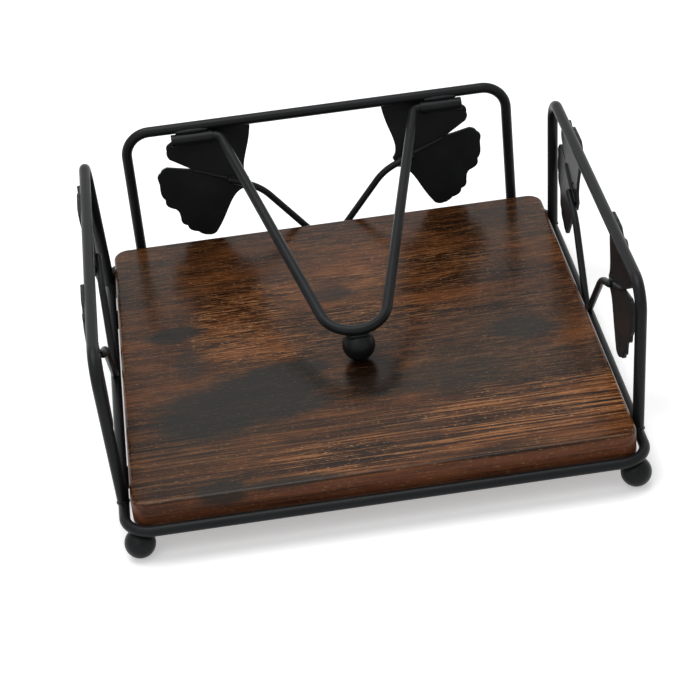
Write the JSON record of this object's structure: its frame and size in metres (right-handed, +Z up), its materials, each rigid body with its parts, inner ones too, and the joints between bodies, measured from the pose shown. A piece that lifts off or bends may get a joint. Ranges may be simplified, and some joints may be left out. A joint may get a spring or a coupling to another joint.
{
  "type": "napkin holder",
  "caption": "Flat napkin holder: a wood board in a wire frame on ball feet, with wire sides that carry ginkgo leaves and a hinged V-shaped wire arm that presses the napkins down.",
  "frame": {"origin": "on the floor, at the middle of the whole object's footprint", "axes": "+X to the object's right, +Y to its back, +Z up"},
  "size_m": [0.197, 0.1936, 0.0741],
  "materials": {
    "wire": "satin black powder coat on steel",
    "wood": "dark rustic wood grain, semi-gloss",
    "screws": "zinc-plated steel"
  },
  "bodies": {
    "holder": {"base_ring": "wire", "foot_front_left": "wire", "foot_front_right": "wire", "foot_back_left": "wire", "foot_back_right": "wire", "back_hoop": "wire", "left_hoop": "wire", "right_hoop": "wire", "leaf_back_left": "wire", "leaf_back_right": "wire", "leaf_left_front": "wire", "leaf_left_rear": "wire", "leaf_right_front": "wire", "leaf_right_rear": "wire", "stem_back_left": "wire", "stem_back_right": "wire", "stem_left_front": "wire", "stem_left_rear": "wire", "stem_right_front": "wire", "stem_right_rear": "wire", "board": "wood", "strap_front": "wire", "strap_back": "wire", "board_screws": "screws", "sleeve_left": "wire", "sleeve_right": "wire", "sleeve_weld_left": "wire", "sleeve_weld_right": "wire"},
    "arm": {"press_arm": "wire", "arm_ball": "wire"}
  },
  "joints": [
    {"name": "arm_hinge", "type": "hinge", "parent": "holder", "child": "arm", "pos_m": [0, 0.09055, 0.06792], "axis": [-1, 0, 0], "range_deg": [0, 74]}
  ]
}
